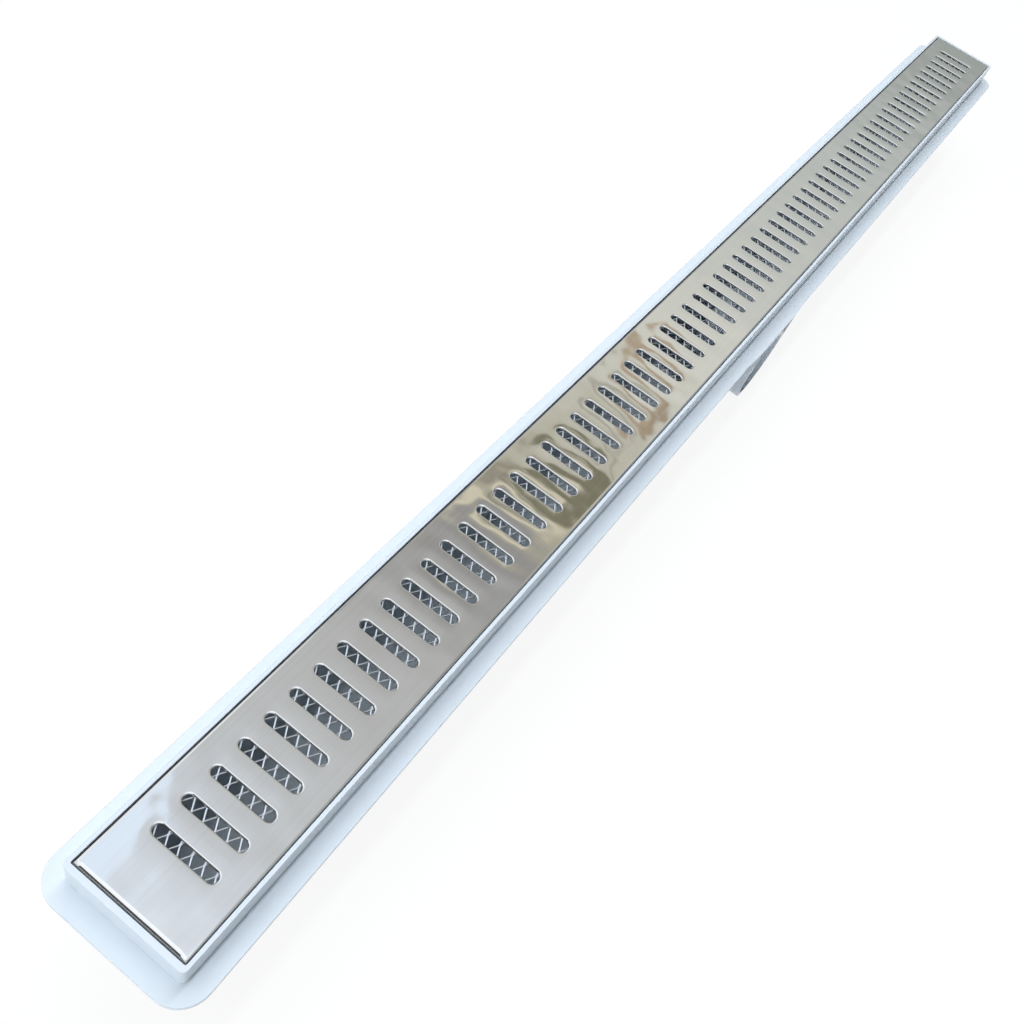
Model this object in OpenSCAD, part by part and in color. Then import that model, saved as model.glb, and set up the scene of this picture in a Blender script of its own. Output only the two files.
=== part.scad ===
// Linear shower drain. A moulded channel carries a slotted stainless grate with an
// insect screen, and drops into a trap box at mid-length. A hood in the box makes the
// water seal over the weir of the side outlet, and a plug closes the bottom outlet.
// X runs along the drain, the side outlet faces -Y and Z is up. The origin is on the
// axis of the bottom outlet, at the end of its spigot. A depth is a distance down
// from the top of the rim.

/* [Grate] */
// Length of the folded grate
grate_l = 892; // [500:1:1500]
// Width of the folded grate
grate_w = 47.6; // [44:0.2:56]
// Height of the folded sides
grate_h = 9.6; // [6:0.2:12]
// Thickness of the stainless sheet
sheet_t = 0.8; // [0.5:0.1:1.2]
// Outer radius of the folds
fold_r = 2; // [1.4:0.1:3]
// How far the grate stands above the rim
grate_proud = 0.4; // [0:0.1:1]
// Overall length of one slot
slot_l = 28.2; // [18:0.2:34]
// Width of one slot
slot_w = 5.8; // [3:0.1:8]
// Distance from one slot to the next
slot_pitch = 13; // [10:0.5:20]
// Least distance from the end of the grate to the first slot's centre
slot_margin = 23; // [12:1:60]

/* [Insect screen] */
// Thickness of the expanded metal
screen_t = 0.8; // [0.5:0.1:1.2]
// Width of one strand
strand_w = 1.2; // [0.8:0.1:2]
// Side clearance of the screen between the grate's folds
screen_gap = 0.2; // [0.1:0.1:1]

/* [Rim and flange] */
// Clearance round the grate
rim_gap = 0.4; // [0.2:0.1:1]
// Thickness of the rim's side walls
rim_t = 1.6; // [1.2:0.1:3]
// Thickness of the rim's end walls
rim_end_t = 2.4; // [1.6:0.1:4]
// Height of the rim above the flange
rim_h = 13.5; // [12.5:0.5:20]
// Outer corner radius of the rim
rim_r = 2.2; // [1:0.1:4]
// Width of the flange beyond the rim
flange_w = 8; // [5:0.5:20]
// Thickness of the flange
flange_t = 2; // [1.5:0.1:3]
// Corner radius of the flange
flange_r = 12; // [4:1:20]

/* [Gutter] */
// Wall thickness of the moulding
wall = 2.2; // [1.6:0.1:2.8]
// Depth of the gutter's straight sides
gutter_side = 25.8; // [20:0.2:32]
// Thickness of a cross rib
rib_t = 3; // [2:0.2:5]
// How far a rib reaches below the gutter
rib_foot = 3; // [1:0.5:8]
// How far a rib stands out beside the gutter
rib_side = 0.6; // [0.2:0.1:1.4]
// Corner radius of a rib
rib_r = 2.5; // [1:0.5:5]
// Distance from mid-length to the first rib
rib_first = 70; // [60:1:100]
// Distance from one rib to the next
rib_pitch = 120; // [60:5:200]

/* [Trap box] */
// Overall length of the box
box_l = 95.2; // [86:0.2:120]
// Length of the box's flat front
box_front = 60; // [54:0.5:72]
// Width of the flat at each end of the box
box_end = 8; // [6:0.5:16]
// How far the box stands out beside the gutter
box_proud = 2; // [1:0.2:4]
// How far the box's floor lies below the gutter
box_drop = 19.5; // [16:0.5:40]
// Height of the tapered foot of the box
box_foot_h = 25; // [18:0.5:30]
// How much shorter each end of the box is at its floor
box_end_draft = 6.2; // [2:0.2:8]
// How much shorter each half of the flat front is at its floor
box_front_draft = 4; // [0:0.2:6]
// Chamfer round the box's floor
box_chamfer = 1.2; // [0.6:0.1:2]

/* [Side outlet] */
// Inner diameter of the socket, for a 40 mm pipe
socket_d = 40.4; // [36:0.1:43]
// Wall thickness of the socket
socket_wall = 2.8; // [2:0.1:4]
// Depth to which the pipe goes in
socket_deep = 16; // [12:0.5:16.5]
// Width of the shoulder that stops the pipe
stop_w = 2.4; // [1.2:0.1:4]
// Thickness of the shoulder
stop_t = 1; // [0.6:0.1:2]
// Thickness of the weir that closes the lower half of the socket
weir_t = 2; // [1.5:0.1:3]
// How far the socket's face and the flange stand out from the flange's edge
face_proud = 1; // [0.5:0.1:3]
// Thickness of the webs beside the socket
web_t = 2; // [1.4:0.1:3]
// How far each web leans out towards the flange
web_lean = 2.5; // [0.5:0.1:6]

/* [Bottom outlet] */
// Outer diameter of the spigot, as a 40 mm pipe
spigot_d = 40; // [38:0.1:40.6]
// Wall thickness of the spigot
spigot_wall = 2.2; // [1.8:0.1:3]
// Length of the spigot below the box
spigot_l = 11; // [11:0.5:60]

/* [Trap hood] */
// Wall thickness of the hood
hood_t = 2; // [1.4:0.1:2.4]
// How far the hood dips below the weir
hood_dip = 18; // [10:0.5:19]
// How far the hood reaches back from the weir
hood_reach = 18.8; // [14:0.2:24]
// Width of the hood's side lips
hood_lip = 2.6; // [2.4:0.1:3.4]
// Corner radius of the hood's back
hood_r = 4; // [2.5:0.5:6]
// Thickness of the hood's flat seal
seal_t = 1; // [0.6:0.1:1.5]
// Height of the pull tab above the hood
tab_h = 6; // [4:0.5:6.5]
// Width of the pull tab
tab_w = 16; // [12:0.5:24]

/* [Outlet plug] */
// Length of the plug in the spigot
plug_l = 8; // [7:0.5:10]
// Clearance round the plug
plug_gap = 0.4; // [0.2:0.1:0.6]
// Width of the plug's rim on the floor of the box
plug_lip = 1.8; // [1:0.1:1.9]
// Section diameter of the plug's sealing ring
ring_d = 2.4; // [1.8:0.1:3]

/* [Hidden] */
$fn = 96;

// Overrun of a cut past the face that it opens
over = 1;
// Thickness of a slice from which a tapered wall is drawn
skin = 0.01;
// Radius of the rim's inner corners
rim_inner_r = 0.6;
// Most gaps in one row of the screen, and its rows
screen_cols = 39;
screen_rows = 3;
// Length over which the wider part of the flange runs out
face_run = 13;
// Length of the wider mouth of the socket, and how much wider it is
mouth_l = 4;
mouth_w = 0.4;
// Small step at the bottom of the socket
step_w = 0.8;
step_l = 1.5;
// Clearance between the hood's window and the opening over the weir
hood_margin = 2.2;
// Clearance, thickness and overlap of the hood's guides
guide_gap = 0.3;
guide_t = 2;
guide_over = 2;
// Thickness of the hood's pull tab, and of its hole for a hook
tab_t = 2.4;
tab_hole = 3.6;
// Clearance between the plug's rim and the walls of the box
floor_play = 0.9;
// Thickness of the plug's rim, wall and grip
plug_lip_t = 2;
plug_wall = 2;
grip_t = 3;
// Play of the sealing ring along its groove
ring_play = 0.4;

// Section of the rim and the gutter
rim_in_l = grate_l + 2 * rim_gap;
rim_in_w = grate_w + 2 * rim_gap;
rim_l = rim_in_l + 2 * rim_end_t;
rim_w = rim_in_w + 2 * rim_t;
flange_under = rim_h + flange_t;
ledge = grate_h - grate_proud;
gutter_r = rim_in_w / 2;
gutter_d = gutter_side + gutter_r;

// Levels of the box and the whole height
box_d = gutter_d + box_drop;
shoulder = box_d - box_foot_h;
total_h = box_d + spigot_l;
floor_in = box_d - wall;

// Plug, and its rim on the floor of the box
spigot_in = spigot_d - 2 * spigot_wall;
plug_d = spigot_in - 2 * plug_gap;
plug_rim_d = plug_d + 2 * plug_lip;
groove_d = spigot_in - 2 * ring_d;
plug_cup_d = groove_d - 2 * plug_wall;

// Plan of the box at its shoulder and at its floor, which is as wide as the plug needs
box_w = rim_in_w + 2 * box_proud;
foot_l = box_l - 2 * box_end_draft;
foot_w = plug_rim_d + 2 * floor_play + 2 * wall;
foot_front = box_front - 2 * box_front_draft;

// Side socket
face_y = -(rim_w / 2 + flange_w + face_proud);
socket_od = socket_d + 2 * socket_wall;
socket_sink = 0.5;
socket_depth = flange_under + socket_od / 2 - socket_sink;
stop_d = socket_d - 2 * stop_w;
seat_y = face_y + socket_deep + stop_t + weir_t;

// Hood
hood_in_w = stop_d + 2 * hood_margin;
hood_w = hood_in_w + 2 * hood_t;
frame_w = hood_w + 2 * hood_lip;
frame_y = seat_y + seal_t;
hood_ceiling = socket_depth - stop_d / 2 - guide_gap;
hood_top = hood_ceiling - hood_t;
frame_top = hood_top - hood_t;
hood_bottom = socket_depth + hood_dip;
seat_w = frame_w + 2 * guide_gap + 2 * guide_t;
guide_back = frame_y + hood_t + guide_gap;

// Slots and ribs that fit in the length
slot_n = floor((grate_l - 2 * slot_margin) / slot_pitch) + 1;
rib_n = floor((rim_in_l / 2 - rib_first - rib_t) / rib_pitch) + 1;

// Inset of a box's front and end when its walls are moved in by t
function slant(l, w, front, end) = norm([l - front, w - end]);
function front_in(l, w, front, end, t) =
    front + 2 * t * (l - front - slant(l, w, front, end)) / (w - end);
function end_in(l, w, front, end, t) =
    end + 2 * t * (w - end - slant(l, w, front, end)) / (l - front);

module at_depth(d) { translate([0, 0, total_h - d]) children(); }

// Extrudes a section drawn in Y and Z along X
module along_x(l) { rotate([90, 0, 90]) linear_extrude(l, center = true) children(); }

// Extrudes a section drawn in X and Z along Y, from y0 to y1
module along_y(y0, y1) { translate([0, y1, 0]) rotate([90, 0, 0]) linear_extrude(y1 - y0) children(); }

module round_rect(l, w, r) {
    square([l - 2 * r, w], center = true);
    square([l, w - 2 * r], center = true);
    for (x = [-1, 1], y = [-1, 1]) translate([x * (l / 2 - r), y * (w / 2 - r)]) circle(r);
}

module octagon(l, w, front, end) {
    polygon([[l / 2, end / 2], [front / 2, w / 2], [-front / 2, w / 2], [-l / 2, end / 2],
             [-l / 2, -end / 2], [-front / 2, -w / 2], [front / 2, -w / 2], [l / 2, -end / 2]]);
}

// Rectangle with its lower edge on zero and its upper corners rounded
module round_top(w, h, r) {
    translate([-w / 2, 0]) square([w, h - r]);
    translate([r - w / 2, 0]) square([w - 2 * r, h]);
    for (x = [-1, 1]) translate([x * (w / 2 - r), h - r]) circle(r);
}

// Tray folded down on all four sides, its corners mitred
module folded_tray(l, w, h, r) {
    intersection() {
        along_x(l) round_top(w, h, r);
        along_y(-w / 2, w / 2) round_top(l, h, r);
    }
}

module slot() {
    for (y = [-1, 1]) translate([0, y * (slot_l - slot_w) / 2]) circle(slot_w / 2);
    square([slot_w, slot_l - slot_w], center = true);
}

module grate() {
    color([0.78, 0.78, 0.76]) at_depth(ledge) difference() {
        folded_tray(grate_l, grate_w, grate_h, fold_r);
        translate([0, 0, -sheet_t])
            folded_tray(grate_l - 2 * sheet_t, grate_w - 2 * sheet_t, grate_h, fold_r - sheet_t);
        translate([0, 0, grate_h - sheet_t - over]) linear_extrude(sheet_t + 2 * over)
            for (i = [0 : slot_n - 1]) translate([(i - (slot_n - 1) / 2) * slot_pitch, 0]) slot();
    }
}

// Strip of expanded metal, its rows of diamonds set off by half a cell
module insect_screen() {
    l = grate_l - 2 * (fold_r + screen_gap);
    w = grate_w - 2 * (fold_r + screen_gap);
    cell_l = (l - strand_w) / screen_cols;
    cell_w = (w - 2 * strand_w) / (screen_rows + 1) * 2;
    gap_l = cell_l - strand_w;
    gap_w = cell_w - 2 * strand_w;
    color([0.85, 0.86, 0.88]) at_depth(sheet_t + screen_t - grate_proud) linear_extrude(screen_t)
        difference() {
            square([l, w], center = true);
            for (row = [0 : screen_rows - 1], i = [0 : screen_cols - 1 - row % 2])
                translate([(i + row % 2 / 2 - (screen_cols - 1) / 2) * cell_l,
                           (row - (screen_rows - 1) / 2) * cell_w / 2])
                    polygon([[gap_l / 2, 0], [0, gap_w / 2], [-gap_l / 2, 0], [0, -gap_w / 2]]);
        }
}

// Section of the gutter, its half-round bottom below straight sides
module gutter_section(r, top) {
    intersection() {
        translate([0, -gutter_side]) circle(r);
        translate([-r, -gutter_side - r]) square([2 * r, r]);
    }
    translate([-r, -gutter_side]) square([2 * r, gutter_side - top]);
}

module rib() {
    h = gutter_d + rib_foot - flange_under;
    at_depth(0) along_x(rib_t) translate([0, -flange_under]) mirror([0, 1])
        round_top(rim_in_w + 2 * rib_side, h, rib_r);
}

// Thin slice of an octagon whose walls are moved in by t
module slice(l, w, front, end, t) {
    linear_extrude(skin)
        octagon(l - 2 * t, w - 2 * t, front_in(l, w, front, end, t), end_in(l, w, front, end, t));
}

module box_outside() {
    at_depth(shoulder) linear_extrude(shoulder - rim_h) octagon(box_l, box_w, box_front, box_end);
    hull() {
        at_depth(shoulder) slice(box_l, box_w, box_front, box_end, 0);
        at_depth(box_d - box_chamfer) slice(foot_l, foot_w, foot_front, box_end, 0);
        at_depth(box_d) slice(foot_l, foot_w, foot_front, box_end, box_chamfer);
    }
}

module box_inside() {
    at_depth(shoulder) linear_extrude(shoulder - flange_under)
        octagon(box_l - 2 * wall, box_w - 2 * wall, front_in(box_l, box_w, box_front, box_end, wall),
                end_in(box_l, box_w, box_front, box_end, wall));
    hull() {
        at_depth(shoulder) slice(box_l, box_w, box_front, box_end, wall);
        at_depth(floor_in) slice(foot_l, foot_w, foot_front, box_end, wall);
    }
}

// Round bar or hole along Y, from y0 to y1, on the socket's axis
module socket_round(d, y0, y1) {
    at_depth(socket_depth) along_y(y0, y1) circle(d / 2);
}

// Flange with its edge carried out to the face of the socket at mid-length
module flange() {
    half = rim_w / 2 + flange_w;
    x = socket_od / 2 + web_lean;
    at_depth(flange_under) linear_extrude(flange_t) {
        round_rect(rim_l + 2 * flange_w, 2 * half, flange_r);
        polygon([[-x - face_run, -half], [-x, face_y], [x, face_y], [x + face_run, -half], [0, 0]]);
    }
}

// Webs that tie the sides of the socket to the flange
module socket_webs() {
    x = socket_od / 2;
    at_depth(0) along_y(face_y, -box_w / 2 + wall / 2) for (side = [0, 1]) mirror([side, 0])
        polygon([[x + web_lean, -rim_h], [x + web_lean - web_t, -rim_h], [x - web_t, -socket_depth],
                 [x, -socket_depth]]);
}

// Plate behind the socket on which the hood seals, with its guide rails and stops
module hood_seat() {
    low = hood_bottom + guide_t;
    rail_y = guide_back + guide_t;
    at_depth(low) {
        translate([-seat_w / 2, seat_y - weir_t, 0]) cube([seat_w, weir_t, low - frame_top]);
        for (side = [0, 1]) mirror([side, 0, 0]) {
            translate([seat_w / 2 - guide_t, seat_y - over, 0])
                cube([guide_t, rail_y - seat_y + over, low - hood_top]);
            translate([frame_w / 2 - guide_over, guide_back, 0])
                cube([seat_w / 2 - frame_w / 2 + guide_over, guide_t, low - hood_top]);
            translate([frame_w / 2 - guide_over, seat_y - over, 0])
                cube([seat_w / 2 - frame_w / 2 + guide_over, rail_y - seat_y + over, guide_t]);
        }
    }
}

// Bore of the socket: a wider mouth, a pipe seat, a shoulder and the opening over the weir
module socket_bore() {
    seat = face_y + socket_deep;
    socket_round(socket_d + mouth_w, face_y - over, face_y + mouth_l);
    socket_round(socket_d, face_y, seat - step_l);
    socket_round(socket_d - step_w, face_y, seat);
    socket_round(stop_d, face_y, seat + stop_t);
    intersection() {
        socket_round(stop_d, face_y, seat_y + over);
        at_depth(socket_depth) translate([-stop_d, face_y, 0])
            cube([2 * stop_d, seat_y - face_y + 2 * over, stop_d]);
    }
}

module channel_body() {
    color([0.8, 0.84, 0.88]) difference() {
        union() {
            difference() {
                union() {
                    at_depth(flange_under) linear_extrude(flange_under) round_rect(rim_l, rim_w, rim_r);
                    flange();
                    at_depth(0) along_x(rim_in_l) gutter_section(gutter_r, rim_h);
                    for (side = [-1, 1], i = [0 : rib_n - 1])
                        translate([side * (rib_first + i * rib_pitch), 0, 0]) rib();
                    box_outside();
                    at_depth(total_h) cylinder(spigot_l + wall, spigot_d / 2, spigot_d / 2);
                }
                at_depth(ledge) linear_extrude(ledge + over) round_rect(rim_in_l, rim_in_w, rim_inner_r);
                at_depth(0) along_x(rim_in_l - 2 * wall) gutter_section(gutter_r - wall, ledge - over);
                box_inside();
            }
            socket_round(socket_od, face_y, seat_y);
            socket_webs();
            hood_seat();
        }
        socket_bore();
        at_depth(total_h + over) cylinder(spigot_l + wall + 2 * over, spigot_in / 2, spigot_in / 2);
    }
}

// Plan of the hood's shell: straight sides, an open front and rounded back corners
module hood_plan(w, back, r) {
    translate([-w / 2, 0]) square([w, back - r]);
    translate([r - w / 2, 0]) square([w - 2 * r, back]);
    for (x = [-1, 1]) translate([x * (w / 2 - r), back - r]) circle(r);
}

module trap_hood() {
    back = hood_reach;
    color([0.72, 0.76, 0.8]) translate([0, frame_y, 0]) {
        difference() {
            union() {
                at_depth(hood_bottom) linear_extrude(hood_bottom - hood_top) hood_plan(hood_w, back, hood_r);
                at_depth(hood_bottom) translate([-frame_w / 2, 0, 0])
                    cube([frame_w, hood_t, hood_bottom - frame_top]);
            }
            at_depth(hood_bottom + over) translate([0, -over, 0])
                linear_extrude(hood_bottom - hood_ceiling + over)
                    hood_plan(hood_in_w, back - hood_t + over, hood_r - hood_t);
        }
        pull_tab((back + hood_t) / 2);
    }
}

// Pull tab with a round top and a hole for a hook
module pull_tab(y) {
    r = tab_w / 2;
    at_depth(hood_top) along_y(y - tab_t / 2, y + tab_t / 2) difference() {
        intersection() {
            translate([0, tab_h - r]) circle(r);
            translate([-r, -hood_t / 2]) square([2 * r, tab_h + hood_t]);
        }
        translate([0, tab_h / 2]) circle(tab_hole / 2);
    }
}

// Flat seal between the hood and its seat, cut out like the hood's window
module hood_seal() {
    color([0.16, 0.16, 0.17]) at_depth(hood_bottom) translate([0, seat_y, 0]) difference() {
        translate([-frame_w / 2, 0, 0]) cube([frame_w, seal_t, hood_bottom - frame_top]);
        translate([-hood_in_w / 2, -over, -over])
            cube([hood_in_w, seal_t + 2 * over, hood_bottom - hood_ceiling + over]);
    }
}

// Level of the middle of the plug's ring, down from the floor of the box
function ring_drop() = plug_l - plug_wall - ring_d / 2;

module outlet_plug() {
    cup_l = plug_l - plug_wall;
    groove_l = ring_d + ring_play;
    color([0.86, 0.88, 0.9]) at_depth(floor_in) difference() {
        union() {
            cylinder(plug_lip_t, plug_rim_d / 2, plug_rim_d / 2);
            translate([0, 0, -plug_l]) cylinder(plug_l + plug_lip_t, plug_d / 2, plug_d / 2);
        }
        translate([0, 0, -ring_drop() - groove_l / 2]) rotate_extrude()
            translate([groove_d / 2, 0]) square([ring_d, groove_l]);
        difference() {
            translate([0, 0, -cup_l])
                cylinder(cup_l + plug_lip_t + over, plug_cup_d / 2, plug_cup_d / 2);
            translate([-plug_cup_d, -grip_t / 2, -cup_l - over])
                cube([2 * plug_cup_d, grip_t, cup_l + over]);
        }
    }
}

module plug_ring() {
    color([0.12, 0.12, 0.13]) at_depth(floor_in + ring_drop()) rotate_extrude()
        translate([(spigot_in - ring_d) / 2, 0]) circle(ring_d / 2);
}

grate();
insect_screen();
channel_body();
trap_hood();
hood_seal();
outlet_plug();
plug_ring();
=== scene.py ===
import math

import bmesh
import bpy
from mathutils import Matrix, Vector


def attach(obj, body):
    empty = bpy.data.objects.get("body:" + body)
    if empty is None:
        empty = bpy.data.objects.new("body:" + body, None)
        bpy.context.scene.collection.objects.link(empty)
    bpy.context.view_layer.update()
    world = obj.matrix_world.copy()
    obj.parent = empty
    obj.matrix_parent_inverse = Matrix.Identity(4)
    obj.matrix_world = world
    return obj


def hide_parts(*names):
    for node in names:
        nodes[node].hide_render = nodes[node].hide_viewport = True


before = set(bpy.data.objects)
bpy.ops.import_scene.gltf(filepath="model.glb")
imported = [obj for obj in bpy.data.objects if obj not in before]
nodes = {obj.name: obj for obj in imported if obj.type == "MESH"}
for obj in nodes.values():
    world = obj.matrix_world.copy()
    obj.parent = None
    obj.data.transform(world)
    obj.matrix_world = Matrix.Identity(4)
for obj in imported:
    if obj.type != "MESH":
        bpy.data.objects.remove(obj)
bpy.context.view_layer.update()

bpy.ops.object.select_all(action="DESELECT")

# Camera and view
# The first view of the photograph looks down on the drain from beyond its near end,
# a little to the socket's side. Place and lens were worked out from the row of slots.
SENSOR = 36.0
LENS = 36.662
EYE = (-0.50765, -0.07683, 0.42714)
TURN = (37.0986, -15.0805, -55.1907)
camera_data = bpy.data.cameras.new("camera")
camera_data.sensor_width = SENSOR
camera_data.lens = LENS
camera = bpy.data.objects.new("camera", camera_data)
camera.location = EYE
camera.rotation_euler = [math.radians(angle) for angle in TURN]
bpy.context.scene.collection.objects.link(camera)
bpy.context.scene.camera = camera
bpy.context.scene.view_settings.view_transform = "Standard"

# Floor
# A matt white studio floor under the drain. It looks white to the lens and in the steel,
# keeps the drain's soft shadow close by, and runs out into the white backdrop.


def wire(tree, kind, inputs=None, **settings):
    """Adds a node, sets its options, and sets or links its sockets by name or number."""
    made = tree.nodes.new(kind)
    for name, value in settings.items():
        setattr(made, name, value)
    for key, value in (inputs or {}).items():
        if isinstance(value, bpy.types.NodeSocket):
            tree.links.new(value, made.inputs[key])
        else:
            made.inputs[key].default_value = value
    return made


def math_node(tree, operation, first, second=0.0, third=0.0):
    """The result of a Math node on one to three values or sockets."""
    return wire(tree, "ShaderNodeMath", {0: first, 1: second, 2: third}, operation=operation).outputs[0]


def new_material(name):
    """An empty material with its tree and output node."""
    made = bpy.data.materials.new(name)
    made.use_nodes = True
    made.node_tree.nodes.clear()
    return made, made.node_tree, made.node_tree.nodes.new("ShaderNodeOutputMaterial")


def seen_directly(tree):
    """One where a camera, glossy or transmission ray arrives, and zero for diffuse light."""
    path = wire(tree, "ShaderNodeLightPath")
    seen = math_node(tree, "MAXIMUM", path.outputs["Is Camera Ray"], path.outputs["Is Glossy Ray"])
    return math_node(tree, "MAXIMUM", seen, path.outputs["Is Transmission Ray"])


FLOOR_SIZE = 14.0
FLOOR_SEEN, FLOOR_BOUNCE = 0.95, 0.70
SHADOW_NEAR, SHADOW_FAR = 0.5, 1.6
GLOW_NEAR = 0.90
bpy.ops.mesh.primitive_grid_add(x_subdivisions=2, y_subdivisions=2, size=FLOOR_SIZE, location=(0, 0, 0))
floor = bpy.context.active_object
floor.name = "floor"
floor_paint, tree, output = new_material("floor_paint")
seen = seen_directly(tree)
albedo = wire(tree, "ShaderNodeMapRange", {"Value": seen, "To Min": FLOOR_BOUNCE, "To Max": FLOOR_SEEN})
matt = wire(tree, "ShaderNodeBsdfDiffuse", {"Color": albedo.outputs[0]})
white = wire(tree, "ShaderNodeEmission", {"Color": (1, 1, 1, 1), "Strength": 1.0})
place = wire(tree, "ShaderNodeTexCoord").outputs["Object"]
away = wire(tree, "ShaderNodeVectorMath", {0: place}, operation="LENGTH").outputs["Value"]
glow = wire(tree, "ShaderNodeMapRange", {"Value": away, "From Min": SHADOW_NEAR, "From Max": SHADOW_FAR,
                                         "To Min": GLOW_NEAR, "To Max": 1.0}, interpolation_type="SMOOTHSTEP")
share = math_node(tree, "MULTIPLY", seen, glow.outputs[0])
floor_mix = wire(tree, "ShaderNodeMixShader", {0: share, 1: matt.outputs[0], 2: white.outputs[0]})
tree.links.new(floor_mix.outputs[0], output.inputs["Surface"])
floor.data.materials.append(floor_paint)

# Backdrop
# White all round to the lens, behind the room whose walls the lens doesn't see. The floor
# fades into it, so that no horizon shows.
world = bpy.data.worlds.new("backdrop")
bpy.context.scene.world = world
world.use_nodes = True
tree = world.node_tree
tree.nodes.clear()
backdrop = wire(tree, "ShaderNodeBackground", {"Color": (1, 1, 1, 1), "Strength": 1.0})
tree.links.new(backdrop.outputs[0], wire(tree, "ShaderNodeOutputWorld").inputs["Surface"])

# Room
# The pale room that the bright steel mirrors: a daylit wall behind the lens and one on the
# left, quieter ones on the other sides, and a ceiling that runs from bluish to grey.
ROOM_X, ROOM_Y, ROOM_Z = (-3.0, 9.0), (-3.2, 3.6), 2.5
ROOM_FILL = 0.065
DAYLIT = (1.12, 1.18, 1.24)
QUIET_WALL = (0.42, 0.44, 0.45)
LEFT_WALL_TONES = [(-3.0, (0.98, 1.04, 1.10)), (1.0, (0.94, 0.99, 1.04)), (2.4, (0.30, 0.32, 0.34)),
                   (5.0, (0.24, 0.26, 0.27)), (9.0, (0.34, 0.36, 0.37))]
RIGHT_WALL_TONES = [(-3.0, (0.66, 0.69, 0.72)), (0.2, (0.62, 0.65, 0.67)), (1.8, (0.34, 0.35, 0.35)),
                    (9.0, (0.42, 0.44, 0.45))]
CEILING_TONES = [(-3.0, (1.10, 1.17, 1.26)), (-0.6, (1.34, 1.43, 1.56)), (0.05, (0.88, 0.96, 1.08)),
                 (0.45, (0.70, 0.73, 0.77)), (1.05, (0.58, 0.59, 0.60)), (1.50, (0.38, 0.38, 0.38)),
                 (1.72, (0.54, 0.52, 0.42)), (2.20, (0.66, 0.65, 0.56)), (2.85, (0.85, 0.86, 0.80)),
                 (3.60, (0.73, 0.76, 0.73)), (5.20, (0.62, 0.66, 0.65)), (6.80, (0.44, 0.48, 0.47)),
                 (9.0, (0.42, 0.45, 0.44))]
bpy.ops.mesh.primitive_cube_add(size=1, location=(sum(ROOM_X) / 2, sum(ROOM_Y) / 2, ROOM_Z / 2),
                                scale=(ROOM_X[1] - ROOM_X[0], ROOM_Y[1] - ROOM_Y[0], ROOM_Z))
room = bpy.context.active_object
room.name = "room"
bpy.ops.object.transform_apply(location=True, rotation=True, scale=True)
bpy.ops.object.mode_set(mode="EDIT")
bpy.ops.mesh.select_all(action="DESELECT")
shell = bmesh.from_edit_mesh(room.data)
for face in shell.faces:
    face.select_set(face.normal.z < -0.5)
    face.material_index = (0 if face.normal.z > 0.5 else 1 if face.normal.x < -0.5
                           else 2 if face.normal.y > 0.5 else 3 if face.normal.y < -0.5 else 4)
bmesh.update_edit_mesh(room.data)
bpy.ops.mesh.delete(type="FACE")
bpy.ops.mesh.select_all(action="SELECT")
bpy.ops.mesh.flip_normals()
bpy.ops.object.mode_set(mode="OBJECT")


def glowing(name, colour):
    """Room surface of an even tone in reflections, and a weak fill to diffuse light."""
    made, tree, output = new_material(name)
    path = wire(tree, "ShaderNodeLightPath")
    mirrored = math_node(tree, "MAXIMUM", path.outputs["Is Glossy Ray"], path.outputs["Is Transmission Ray"])
    strength = wire(tree, "ShaderNodeMapRange", {"Value": mirrored, "To Min": ROOM_FILL, "To Max": 1.0})
    light = wire(tree, "ShaderNodeEmission", {"Color": (*colour, 1), "Strength": strength.outputs[0]})
    tree.links.new(light.outputs[0], output.inputs["Surface"])
    return made, tree, light


def graded(name, tones):
    """Room surface whose tone runs along the drain through the given places and colours."""
    made, tree, light = glowing(name, (1, 1, 1))
    place = wire(tree, "ShaderNodeTexCoord").outputs["Object"]
    along = wire(tree, "ShaderNodeSeparateXYZ", {0: place}).outputs["X"]
    zone = wire(tree, "ShaderNodeMapRange", {"Value": along, "From Min": ROOM_X[0], "From Max": ROOM_X[1]})
    ramp = wire(tree, "ShaderNodeValToRGB", {"Fac": zone.outputs[0]})
    points = ramp.color_ramp.elements
    while len(points) < len(tones):
        points.new(0.5)
    for point, (x, colour) in zip(points, tones):
        point.position = (x - ROOM_X[0]) / (ROOM_X[1] - ROOM_X[0])
        point.color = (*colour, 1)
    tree.links.new(ramp.outputs["Color"], light.inputs["Color"])
    return made


for paint in (graded("ceiling_paint", CEILING_TONES), glowing("daylit_wall", DAYLIT)[0],
              graded("left_wall", LEFT_WALL_TONES), graded("right_wall", RIGHT_WALL_TONES),
              glowing("quiet_wall", QUIET_WALL)[0]):
    room.data.materials.append(paint)
room.visible_camera = False

# Ceiling boards
# A daylit strip hangs on the left, a bluish one over the near corner, and cream, olive and
# brown boards slantwise beyond. The steel mirrors them, and they give no light of their own.
BOARD_Z = 2.45
BOARDS = [("daylight_strip", -0.40, 3.2, 2.55, 1.9, 0, (1.24, 1.31, 1.39)),
          ("window_glow", 0.02, 0.60, 0.80, 0.36, 25, (1.00, 1.15, 1.36)),
          ("cream_board", 1.655, 0.095, 0.54, 1.2, 24, (0.88, 0.83, 0.66)),
          ("grey_board", 1.84, 0.20, 0.66, 0.15, -18, (0.42, 0.40, 0.33)),
          ("olive_board", 1.89, 0.16, 0.41, 0.40, -36, (0.25, 0.24, 0.17)),
          ("dark_rail", 1.79, 0.030, 0.58, 0.46, 12, (0.15, 0.14, 0.10)),
          ("grey_rail", 2.24, 0.035, 0.50, 0.62, -46, (0.40, 0.39, 0.32)),
          ("thin_rail", 2.41, 0.025, 0.60, 0.50, -40, (0.40, 0.39, 0.33)),
          ("brown_board", 2.60, 0.100, 0.54, 0.62, -54, (0.52, 0.41, 0.29)),
          ("brown_end", 2.42, 0.060, 0.37, 0.26, -64, (0.38, 0.29, 0.20))]
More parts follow.
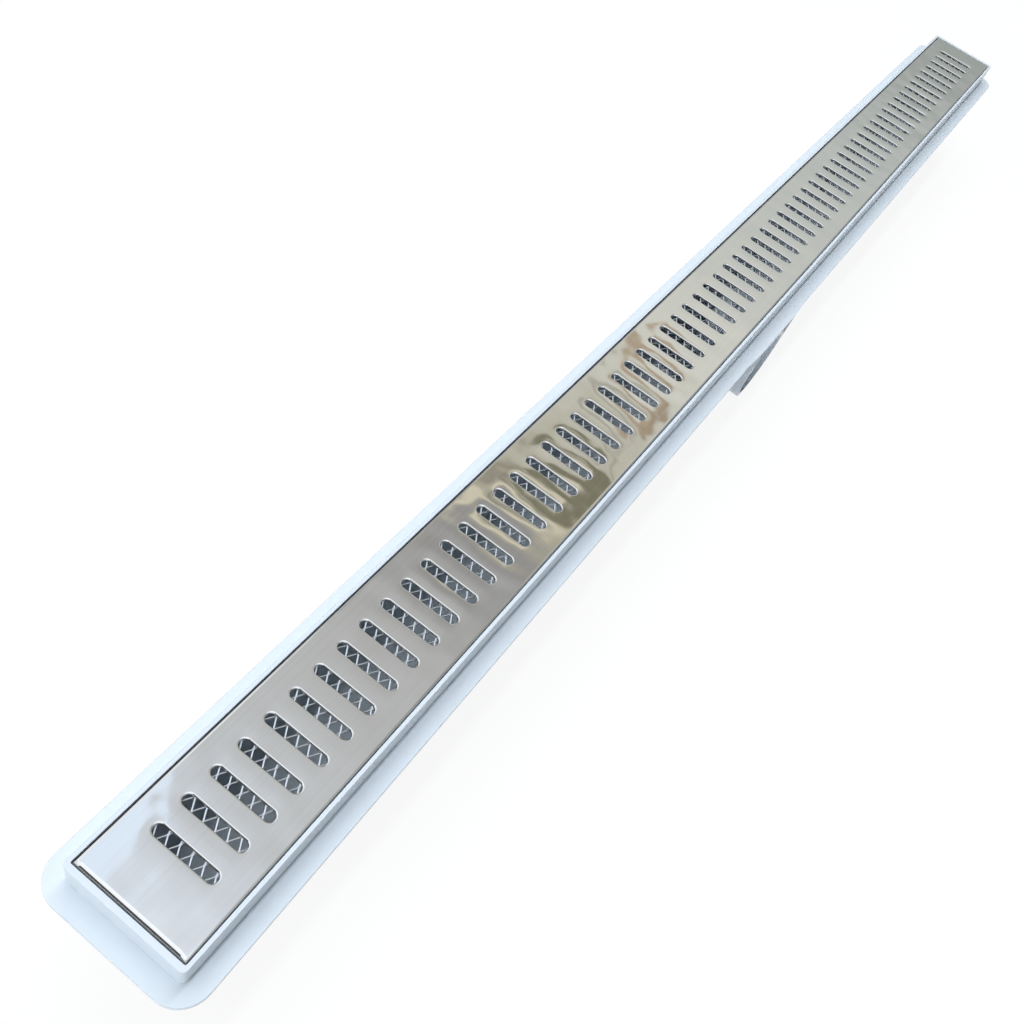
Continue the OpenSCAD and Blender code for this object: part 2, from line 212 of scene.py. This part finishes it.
for name, x, width, y, length, turn, colour in BOARDS:
    bpy.ops.object.select_all(action="DESELECT")
    bpy.ops.mesh.primitive_plane_add(size=1, location=(x, y, BOARD_Z),
                                     rotation=(math.pi, 0, math.radians(turn)))
    board = bpy.context.active_object
    board.name = name
    board.scale = (width, length, 1)
    bpy.ops.object.transform_apply(location=True, rotation=True, scale=True)
    board.data.materials.append(glowing(name, colour)[0])
    board.visible_camera = False
    board.visible_diffuse = False
    board.visible_shadow = False

# Lens screen
# A dark narrow screen stands behind the lens. The steel of the folded end mirrors it as the
# dark band under the bright line of the fold, and it gives no light of its own.
SCREEN_SPOT = (-1.30, 0.335, 0.50)
SCREEN_SIZE = (1.00, 0.45)
CLOTH_TONE = (0.10, 0.085, 0.085)
bpy.ops.object.select_all(action="DESELECT")
bpy.ops.mesh.primitive_plane_add(size=1, location=SCREEN_SPOT, rotation=(0, math.radians(90), 0))
lens_screen = bpy.context.active_object
lens_screen.name = "lens_screen"
lens_screen.scale = (*SCREEN_SIZE, 1)
bpy.ops.object.transform_apply(location=True, rotation=True, scale=True)
lens_screen.data.materials.append(glowing("dark_cloth", CLOTH_TONE)[0])
lens_screen.visible_camera = False
lens_screen.visible_diffuse = False
lens_screen.visible_shadow = False

# Lamps
# A long narrow lamp right above, a wide soft one beside it on the left, a low window behind
# the lens, and a weak low lamp that opens the shade on the socket's side.
LAMP_TINT = (0.94, 0.98, 1.03)
LAMPS = [("strip_lamp", (0.20, 0.10, 2.40), (0.20, 0.0, 0.0), (3.4, 0.20), 36.0),
         ("soft_lamp", (0.20, 0.90, 2.25), (0.20, 0.0, 0.0), (3.4, 1.15), 38.0),
         ("window", (-2.70, 0.15, 1.00), (-0.30, 0.0, 0.08), (1.8, 1.2), 38.0),
         ("low_lamp", (0.10, -1.60, 0.24), (0.0, 0.0, 0.04), (2.6, 0.4), 5.0)]
for name, spot, aim, size, watts in LAMPS:
    lamp_data = bpy.data.lights.new(name, "AREA")
    lamp_data.shape = "RECTANGLE"
    lamp_data.size, lamp_data.size_y = size
    lamp_data.energy = watts
    lamp_data.color = LAMP_TINT
    lamp = bpy.data.objects.new(name, lamp_data)
    lamp.location = spot
    lamp.rotation_euler = (Vector(aim) - Vector(spot)).to_track_quat("-Z", "Y").to_euler()
    lamp.visible_camera = False
    lamp.visible_glossy = False
    bpy.context.scene.collection.objects.link(lamp)

# Channel
# The pale grey body is one injection moulding of rigid vinyl: rim, flange, gutter with
# its ribs, trap box, pipe socket and spigot. Its edges are softened as they left the mould,
# and two ejector pins marked the weir.
CLOUD_SCALE, CLOUD_DETAIL, PORE_SCALE, PORE_DETAIL = 22.0, 3.0, 1400.0, 2.0
CLOUD_ROUGH, PORE_ROUGH, PORE_HEIGHT = 0.12, 0.05, 0.000004
VINYL_IOR = 1.53
EDGE_SAMPLES = 6
PIN_R, PIN_LINE, PIN_DEPTH = 0.0018, 0.00035, 0.00007
WEIR_FRONT, PIN_X, PIN_Z = -0.0178, 0.0115, 0.0335
PIN_MARKS = [(-PIN_X, WEIR_FRONT, PIN_Z), (PIN_X, WEIR_FRONT, PIN_Z)]
moulded = bpy.data.node_groups.new("moulded_surface", "ShaderNodeTree")
for name, kind, direction in (("Colour", "NodeSocketColor", "INPUT"),
                              ("Mottle", "NodeSocketFloat", "INPUT"),
                              ("Polish", "NodeSocketFloat", "INPUT"),
                              ("Sink", "NodeSocketFloat", "INPUT"),
                              ("Colour", "NodeSocketColor", "OUTPUT"),
                              ("Roughness", "NodeSocketFloat", "OUTPUT"),
                              ("Height", "NodeSocketFloat", "OUTPUT")):
    moulded.interface.new_socket(name=name, in_out=direction, socket_type=kind)
given = wire(moulded, "NodeGroupInput")
place = wire(moulded, "ShaderNodeTexCoord").outputs["Object"]
broad = wire(moulded, "ShaderNodeTexNoise", {"Vector": place, "Scale": CLOUD_SCALE,
                                             "Detail": CLOUD_DETAIL}).outputs["Fac"]
fine = wire(moulded, "ShaderNodeTexNoise", {"Vector": place, "Scale": PORE_SCALE,
                                            "Detail": PORE_DETAIL}).outputs["Fac"]
patch = math_node(moulded, "MULTIPLY", math_node(moulded, "SUBTRACT", broad, 0.5), given.outputs["Mottle"])
value = math_node(moulded, "ADD", 1.0, patch)
tinted = wire(moulded, "ShaderNodeHueSaturation", {"Value": value, "Color": given.outputs["Colour"]})
rough = math_node(moulded, "MULTIPLY_ADD", broad, CLOUD_ROUGH, given.outputs["Polish"])
rough = math_node(moulded, "MULTIPLY_ADD", fine, PORE_ROUGH, rough)
height = math_node(moulded, "MULTIPLY", broad, given.outputs["Sink"])
height = math_node(moulded, "MULTIPLY_ADD", fine, PORE_HEIGHT, height)
wire(moulded, "NodeGroupOutput", {"Colour": tinted.outputs[0], "Roughness": rough, "Height": height})


def moulded_material(name, colour, mottle, polish, sink, soft_edge, pins=()):
    """Rigid moulding with its own colour, mottle, polish, sink marks, soft edges and pin marks."""
    made, tree, output = new_material(name)
    skin = wire(tree, "ShaderNodeGroup", node_tree=moulded)
    skin.inputs["Colour"].default_value = (*colour, 1)
    for key, given_value in (("Mottle", mottle), ("Polish", polish), ("Sink", sink)):
        skin.inputs[key].default_value = given_value
    height = skin.outputs["Height"]
    for pin in pins:
        place = wire(tree, "ShaderNodeTexCoord").outputs["Object"]
        away = wire(tree, "ShaderNodeVectorMath", {0: place, 1: pin}, operation="DISTANCE").outputs["Value"]
        off_ring = math_node(tree, "ABSOLUTE", math_node(tree, "SUBTRACT", away, PIN_R))
        ring = wire(tree, "ShaderNodeMapRange", {"Value": off_ring, "From Max": PIN_LINE, "To Min": PIN_DEPTH,
                                                 "To Max": 0.0}, interpolation_type="SMOOTHSTEP")
        height = math_node(tree, "SUBTRACT", height, ring.outputs[0])
    edge = wire(tree, "ShaderNodeBevel", {"Radius": soft_edge}, samples=EDGE_SAMPLES)
    bump = wire(tree, "ShaderNodeBump", {"Strength": 1.0, "Distance": 1.0, "Height": height,
                                         "Normal": edge.outputs[0]})
    shader = wire(tree, "ShaderNodeBsdfPrincipled",
                  {"Base Color": skin.outputs["Colour"], "Roughness": skin.outputs["Roughness"],
                   "Normal": bump.outputs[0], "IOR": VINYL_IOR})
    tree.links.new(shader.outputs[0], output.inputs["Surface"])
    return made


def repaint(node, material):
    """Gives a carried-over node its material in every slot."""
    piece = nodes[node]
    piece.data.materials.clear()
    piece.data.materials.append(material)


body_vinyl = moulded_material("body_vinyl", colour=(0.66, 0.72, 0.77), mottle=0.05, polish=0.26,
                              sink=0.00010, soft_edge=0.0005, pins=PIN_MARKS)
repaint("channel_body", body_vinyl)

# Outlet plug
# A turned-looking cup moulded in the same vinyl a shade lighter, pushed into the spigot,
# with a grip across it and a rubber ring in its groove.
plug_vinyl = moulded_material("plug_vinyl", colour=(0.72, 0.76, 0.80), mottle=0.05, polish=0.22,
                              sink=0.00004, soft_edge=0.0004)
repaint("outlet_plug", plug_vinyl)
DUST_SCALE, DUST_DETAIL, DUST_HEIGHT = 260.0, 4.0, 0.00003
CLEAN_BLACK, DUSTY_BLACK = (0.018, 0.018, 0.02, 1), (0.05, 0.05, 0.052, 1)
RUBBER_ROUGH, DUST_ROUGH = 0.5, 0.25
seal_rubber, tree, output = new_material("seal_rubber")
place = wire(tree, "ShaderNodeTexCoord").outputs["Object"]
dust = wire(tree, "ShaderNodeTexNoise", {"Vector": place, "Scale": DUST_SCALE,
                                         "Detail": DUST_DETAIL}).outputs["Fac"]
black = wire(tree, "ShaderNodeMix", {"Factor": dust, "A": CLEAN_BLACK, "B": DUSTY_BLACK}, data_type="RGBA")
rubber_rough = math_node(tree, "MULTIPLY_ADD", dust, DUST_ROUGH, RUBBER_ROUGH)
rubber_bump = wire(tree, "ShaderNodeBump", {"Strength": 1.0, "Distance": DUST_HEIGHT, "Height": dust})
rubber = wire(tree, "ShaderNodeBsdfPrincipled", {"Base Color": black.outputs["Result"],
                                                 "Roughness": rubber_rough, "Normal": rubber_bump.outputs[0]})
tree.links.new(rubber.outputs[0], output.inputs["Surface"])
repaint("plug_ring", seal_rubber)

# Trap hood
# A removable bell of thin vinyl that slides down in guides behind the weir and makes the
# water seal. A flat rubber gasket lies between its frame and the seat.
hood_vinyl = moulded_material("hood_vinyl", colour=(0.58, 0.64, 0.69), mottle=0.06, polish=0.3,
                              sink=0.00006, soft_edge=0.0004)
repaint("trap_hood", hood_vinyl)
repaint("hood_seal", seal_rubber)

# Insect screen
# A strip of bright expanded metal under the slotted sheet: slit and pulled sheet, so each
# strand is a flat ribbon that leans over and is bonded to its neighbour at every knuckle.
STRAND_W = 0.0006
STRAND_T = 0.00026
STRAND_LEAN = 18.0
ROW_PITCH = 0.0026
ROW_SWING = 0.00115
CELL_L = 0.00971
KNUCKLE_L = 0.00085
SCREEN_TOP = 0.0801
SCREEN_MID = SCREEN_TOP - 0.0004
SCREEN_START = -0.44312
FIRST_ROW = -0.01885
ROW_PAIRS, ROW_CELLS = 8, 91
TOUCH, NEAR = 0.00001, 1e-6


def pick(piece, kind, test):
    """Selects the edges or faces of a piece in edit mode whose middle passes the test."""
    bpy.context.view_layer.objects.active = piece
    mesh = bmesh.from_edit_mesh(piece.data)
    bpy.ops.mesh.select_all(action="DESELECT")
    bpy.ops.mesh.select_mode(type=kind)
    for part in mesh.edges if kind == "EDGE" else mesh.faces if kind == "FACE" else mesh.verts:
        middle = part.co if kind == "VERT" else sum((v.co for v in part.verts), Vector()) / len(part.verts)
        part.select_set(test(part, middle))
    mesh.select_flush_mode()
    bmesh.update_edit_mesh(piece.data)


def apply_array(piece, count, step):
    """Repeats a piece in a row and merges what meets."""
    bpy.context.view_layer.objects.active = piece
    row = piece.modifiers.new("row", "ARRAY")
    row.count = count
    row.use_relative_offset = False
    row.use_constant_offset = True
    row.constant_offset_displace = step
    row.use_merge_vertices = True
    row.merge_threshold = TOUCH
    bpy.ops.object.modifier_apply(modifier=row.name)


def strand_row(name, x, y, cells, rows):
    """One zigzag strand over the strip's length, repeated every second row."""
    bpy.ops.object.select_all(action="DESELECT")
    bpy.ops.mesh.primitive_plane_add(size=1, location=(0, 0, 0))
    strand = bpy.context.active_object
    strand.name = name
    bpy.ops.object.mode_set(mode="EDIT")
    bpy.ops.mesh.select_all(action="SELECT")
    bpy.ops.transform.resize(value=(STRAND_T, STRAND_W, 1), center_override=(0, 0, 0))
    bpy.ops.transform.rotate(value=math.radians(90), orient_axis="Y", center_override=(0, 0, 0))
    bpy.ops.transform.rotate(value=math.radians(STRAND_LEAN), orient_axis="X", center_override=(0, 0, 0))
    bpy.ops.transform.translate(value=(x, y, SCREEN_MID))
    run = CELL_L / 2 - KNUCKLE_L
    for along, across in ((run / 2, ROW_SWING), (KNUCKLE_L, 0), (run, -2 * ROW_SWING), (KNUCKLE_L, 0),
                          (run / 2, ROW_SWING)):
        bpy.ops.mesh.extrude_region_move(TRANSFORM_OT_translate={"value": (along, across, 0)})
    pick(strand, "FACE", lambda face, middle: abs(middle.x - x) < NEAR or abs(middle.x - x - CELL_L) < NEAR)
    bpy.ops.mesh.delete(type="ONLY_FACE")
    bpy.ops.object.mode_set(mode="OBJECT")
    apply_array(strand, cells, (CELL_L, 0, 0))
    bpy.ops.object.mode_set(mode="EDIT")
    bpy.ops.mesh.select_all(action="SELECT")
    bpy.ops.mesh.fill_holes(sides=4)
    bpy.ops.mesh.normals_make_consistent(inside=False)
    bpy.ops.object.mode_set(mode="OBJECT")
    apply_array(strand, rows, (0, 2 * ROW_PITCH, 0))
    return strand


screen = strand_row("insect_mesh", SCREEN_START, FIRST_ROW, ROW_CELLS, ROW_PAIRS)
between = strand_row("insect_mesh_between", SCREEN_START + CELL_L / 2, FIRST_ROW + ROW_PITCH, ROW_CELLS - 1,
                     ROW_PAIRS)
screen.select_set(True)
between.select_set(True)
bpy.context.view_layer.objects.active = screen
bpy.ops.object.join()
FILM_SCALE, FILM_DETAIL = 320.0, 3.0
FILM_DARK, FILM_BRIGHT = (0.66, 0.69, 0.74, 1), (0.82, 0.85, 0.89, 1)
METAL_ROUGH, FILM_ROUGH = 0.36, 0.2
DRAWN_SCALE, DRAWN_DETAIL, DRAWN_HEIGHT = 2600.0, 1.0, 0.000012
bright_metal, tree, output = new_material("bright_expanded_metal")
place = wire(tree, "ShaderNodeTexCoord").outputs["Object"]
film = wire(tree, "ShaderNodeTexNoise", {"Vector": place, "Scale": FILM_SCALE,
                                         "Detail": FILM_DETAIL}).outputs["Fac"]
metal_tone = wire(tree, "ShaderNodeMix", {"Factor": film, "A": FILM_DARK, "B": FILM_BRIGHT}, data_type="RGBA")
metal_rough = math_node(tree, "MULTIPLY_ADD", film, FILM_ROUGH, METAL_ROUGH)
drawn = wire(tree, "ShaderNodeTexNoise", {"Vector": place, "Scale": DRAWN_SCALE,
                                          "Detail": DRAWN_DETAIL}).outputs["Fac"]
metal_bump = wire(tree, "ShaderNodeBump", {"Strength": 1.0, "Distance": DRAWN_HEIGHT, "Height": drawn})
metal = wire(tree, "ShaderNodeBsdfPrincipled",
             {"Base Color": metal_tone.outputs["Result"], "Metallic": 1.0, "Roughness": metal_rough,
              "Normal": metal_bump.outputs[0]})
tree.links.new(metal.outputs[0], output.inputs["Surface"])
screen.data.materials.append(bright_metal)
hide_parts("insect_screen")
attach(screen, "root")

# Grate
# One stainless sheet, punched with 66 slots whose lips the tool drew down, then folded on
# all four sides with mitred corners. The long rolling grain runs from end to end.
GRATE_TOP = 0.0809
GRATE_L, GRATE_W, GRATE_H = 0.892, 0.0476, 0.0096
SHEET_T = 0.0008
END_FOLD, SIDE_FOLD = 0.0021, 0.0014
SLOT_COUNT, SLOT_PITCH = 66, 0.013
SLOT_R, SLOT_ARC_Y = 0.0029, 0.0116
LIP_R = 0.00075
HOLE_R = SLOT_R - LIP_R
SLOT_SIDES = 24
SKIRT_R = 0.015
LIP_STEPS = 4
FOLD_STEPS = 6
SHARP_TURN = 1.0
SMOOTH_ANGLE = 48.0
CUT_REACH = 1e-7
FACE_WEIGHT = 80
flat_x, flat_y = GRATE_L / 2 - END_FOLD, GRATE_W / 2 - SIDE_FOLD
first_x = -(SLOT_COUNT - 1) / 2 * SLOT_PITCH
last_cell = SLOT_COUNT / 2 * SLOT_PITCH
bpy.ops.object.select_all(action="DESELECT")
bpy.ops.mesh.primitive_circle_add(vertices=SLOT_SIDES, radius=HOLE_R / math.cos(math.pi / SLOT_SIDES),
                                  location=(0, 0, 0), rotation=(0, 0, math.pi / SLOT_SIDES))
grate = bpy.context.active_object
grate.name = "slotted_grate"
bpy.ops.object.transform_apply(location=True, rotation=True, scale=True)
bpy.ops.object.mode_set(mode="EDIT")
for side in (-1, 1):
    pick(grate, "VERT", lambda vert, middle: middle.y * side > 0)
    bpy.ops.transform.translate(value=(0, side * SLOT_ARC_Y, 0))
pick(grate, "EDGE", lambda edge, middle: True)
bpy.ops.mesh.extrude_edges_move(TRANSFORM_OT_translate={"value": (0, 0, SHEET_T)})
for side in (-1, 1):
    pick(grate, "VERT", lambda vert, middle: middle.y * side > 0 and middle.z > SHEET_T / 2)
    bpy.ops.transform.resize(value=(SKIRT_R / HOLE_R, SKIRT_R / HOLE_R, 1),
                             center_override=(0, side * SLOT_ARC_Y, 0))
bpy.ops.mesh.select_all(action="SELECT")
bpy.ops.transform.resize(value=(1, 1, 0), center_override=(0, 0, 0))
for point, normal in (((SLOT_PITCH / 2, 0, 0), (1, 0, 0)), ((-SLOT_PITCH / 2, 0, 0), (-1, 0, 0)),
                      ((0, flat_y, 0), (0, 1, 0)), ((0, -flat_y, 0), (0, -1, 0))):
    bpy.ops.mesh.select_all(action="SELECT")
    bpy.ops.mesh.bisect(plane_co=point, plane_no=normal, clear_outer=True, threshold=CUT_REACH)
bpy.ops.mesh.select_all(action="SELECT")
bpy.ops.transform.translate(value=(first_x, 0, GRATE_TOP))
bpy.ops.object.mode_set(mode="OBJECT")
apply_array(grate, SLOT_COUNT, (SLOT_PITCH, 0, 0))
bpy.ops.object.mode_set(mode="EDIT")
for end in (-1, 1):
    pick(grate, "EDGE", lambda edge, middle: edge.is_boundary and abs(middle.x - end * last_cell) < NEAR)
    bpy.ops.mesh.extrude_edges_move(TRANSFORM_OT_translate={"value": (end * (flat_x - last_cell), 0, 0)})
pick(grate, "EDGE", lambda edge, middle: edge.is_boundary
     and (abs(middle.x) > flat_x - NEAR or abs(middle.y) > flat_y - NEAR))
reach, level = 0.0, 0.0
for step in range(1, FOLD_STEPS + 1):
    angle = math.pi / 2 * step / FOLD_STEPS
    new_reach, new_level = math.sin(angle), SIDE_FOLD * (math.cos(angle) - 1)
    bpy.ops.mesh.extrude_edges_move(TRANSFORM_OT_translate={"value": (0, 0, new_level - level)})
    bpy.ops.transform.resize(value=((flat_x + END_FOLD * new_reach) / (flat_x + END_FOLD * reach),
                                    (flat_y + SIDE_FOLD * new_reach) / (flat_y + SIDE_FOLD * reach), 1),
                             center_override=(0, 0, 0))
    reach, level = new_reach, new_level
bpy.ops.mesh.extrude_edges_move(TRANSFORM_OT_translate={"value": (0, 0, SIDE_FOLD - GRATE_H)})
bpy.ops.mesh.select_all(action="SELECT")
bpy.ops.mesh.normals_make_consistent(inside=False)
bpy.ops.object.mode_set(mode="OBJECT")
if max(grate.data.polygons, key=lambda face: face.area).normal.z < 0:
    bpy.ops.object.mode_set(mode="EDIT")
    bpy.ops.mesh.flip_normals()
    bpy.ops.object.mode_set(mode="OBJECT")
sheet = grate.modifiers.new("sheet", "SOLIDIFY")
sheet.thickness = SHEET_T
sheet.offset = -1
sheet.use_even_offset = True
bpy.ops.object.modifier_apply(modifier=sheet.name)
bpy.ops.object.mode_set(mode="EDIT")
pick(grate, "EDGE", lambda edge, middle: abs(middle.z - GRATE_TOP) < NEAR and len(edge.link_faces) == 2
     and edge.calc_face_angle() > SHARP_TURN)
bpy.ops.mesh.bevel(offset=LIP_R, segments=LIP_STEPS, profile=0.5)
bpy.ops.object.mode_set(mode="OBJECT")
bpy.ops.object.shade_smooth_by_angle(angle=math.radians(SMOOTH_ANGLE))
even = grate.modifiers.new("even_shading", "WEIGHTED_NORMAL")
even.keep_sharp = True
even.weight = FACE_WEIGHT
bpy.ops.object.modifier_apply(modifier=even.name)

DISH_REACH, DISH_SPREAD, DISH_LEAST = 0.0024, 0.00015, -0.00005
UNEVEN_SCALE, UNEVEN_DETAIL = 30.0, 1.5
WAVE_SCALE, WAVE_DETAIL, WAVE_HEIGHT = 24.0, 2.0, 0.0009
GRAIN_SCALE, GRAIN_DETAIL, GRAIN_HEIGHT = (6.0, 1500.0, 1500.0), 2.0, 0.0000012
STEEL_ROUGH, GRAIN_ROUGH = 0.05, 0.03
STEEL_DARK, STEEL_BRIGHT = (0.69, 0.68, 0.66, 1), (0.75, 0.74, 0.71, 1)
steel, tree, output = new_material("satin_stainless")
place = wire(tree, "ShaderNodeTexCoord").outputs["Object"]
split = wire(tree, "ShaderNodeSeparateXYZ", {0: place})
x, y = split.outputs["X"], split.outputs["Y"]
held = wire(tree, "ShaderNodeClamp", {"Value": x, "Min": first_x, "Max": -first_x}).outputs[0]
centre = math_node(tree, "ADD", math_node(tree, "SNAP", held, SLOT_PITCH), SLOT_PITCH / 2)
beside = math_node(tree, "SUBTRACT", x, centre)
past_arc = math_node(tree, "SUBTRACT", math_node(tree, "ABSOLUTE", y), SLOT_ARC_Y)
beyond = math_node(tree, "MAXIMUM", past_arc, 0.0)
apart = math_node(tree, "SQRT", math_node(tree, "ADD", math_node(tree, "MULTIPLY", beside, beside),
                                          math_node(tree, "MULTIPLY", beyond, beyond)))
apart = math_node(tree, "MAXIMUM", math_node(tree, "SUBTRACT", apart, SLOT_R), 0.0)
dish = math_node(tree, "EXPONENT", math_node(tree, "DIVIDE", apart, -DISH_REACH))
uneven = wire(tree, "ShaderNodeTexNoise", {"Vector": place, "Scale": UNEVEN_SCALE,
                                           "Detail": UNEVEN_DETAIL}).outputs["Fac"]
dish = math_node(tree, "MULTIPLY", dish, math_node(tree, "MULTIPLY_ADD", uneven, DISH_SPREAD, DISH_LEAST))
wave = wire(tree, "ShaderNodeTexNoise", {"Vector": place, "Scale": WAVE_SCALE,
                                         "Detail": WAVE_DETAIL}).outputs["Fac"]
height = math_node(tree, "MULTIPLY_ADD", wave, WAVE_HEIGHT, math_node(tree, "MULTIPLY", dish, -1.0))
grain_place = wire(tree, "ShaderNodeMapping", {"Vector": place, "Scale": GRAIN_SCALE}).outputs[0]
grain = wire(tree, "ShaderNodeTexNoise", {"Vector": grain_place, "Scale": 1.0,
                                          "Detail": GRAIN_DETAIL}).outputs["Fac"]
height = math_node(tree, "MULTIPLY_ADD", grain, GRAIN_HEIGHT, height)
steel_rough = math_node(tree, "MULTIPLY_ADD", grain, GRAIN_ROUGH, STEEL_ROUGH)
steel_tone = wire(tree, "ShaderNodeMix", {"Factor": grain, "A": STEEL_DARK, "B": STEEL_BRIGHT},
                  data_type="RGBA")
steel_bump = wire(tree, "ShaderNodeBump", {"Strength": 1.0, "Distance": 1.0, "Height": height})
steel_shader = wire(tree, "ShaderNodeBsdfPrincipled",
                    {"Base Color": steel_tone.outputs["Result"], "Metallic": 1.0, "Roughness": steel_rough,
                     "Normal": steel_bump.outputs[0]})
tree.links.new(steel_shader.outputs[0], output.inputs["Surface"])
grate.data.materials.append(steel)
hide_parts("grate")
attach(grate, "root")

bpy.ops.object.select_all(action="DESELECT")
